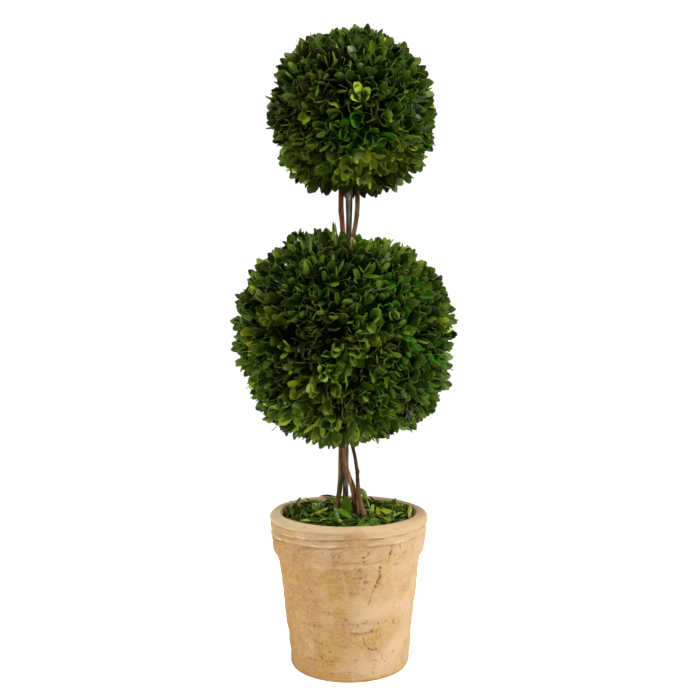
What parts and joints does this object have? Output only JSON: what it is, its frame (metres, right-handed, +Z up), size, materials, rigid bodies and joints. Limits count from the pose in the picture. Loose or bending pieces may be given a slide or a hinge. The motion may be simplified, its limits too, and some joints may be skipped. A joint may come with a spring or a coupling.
{
  "type": "double-ball box topiary in a terracotta pot",
  "caption": "Potted box topiary: a large clipped ball of small leaves with a smaller ball above it, on slim bare stems in a weathered terracotta pot that stands by itself.",
  "frame": {"origin": "centre of the pot's flat underside", "axes": "+Z up along the stake, -Y the front, +X to the right seen from the front"},
  "size_m": [0.2341, 0.2375, 0.6861],
  "materials": {
    "terracotta": "unglazed, sandy and weathered",
    "foam": "dull, porous",
    "bark": "fine flaking bark",
    "weathered_bark": "grey, furrowed",
    "box_leaf": "satin leaf"
  },
  "bodies": {
    "root": {"pot": "terracotta", "foam_fill": "foam", "leaf_bed": "box_leaf", "stake": "weathered_bark", "lower_stem_left": "bark", "lower_stem_crossing": "bark", "lower_stem_right": "bark", "upper_stem_left": "bark", "upper_stem_right": "bark", "lower_ball": "box_leaf", "upper_ball": "box_leaf"}
  },
  "joints": []
}
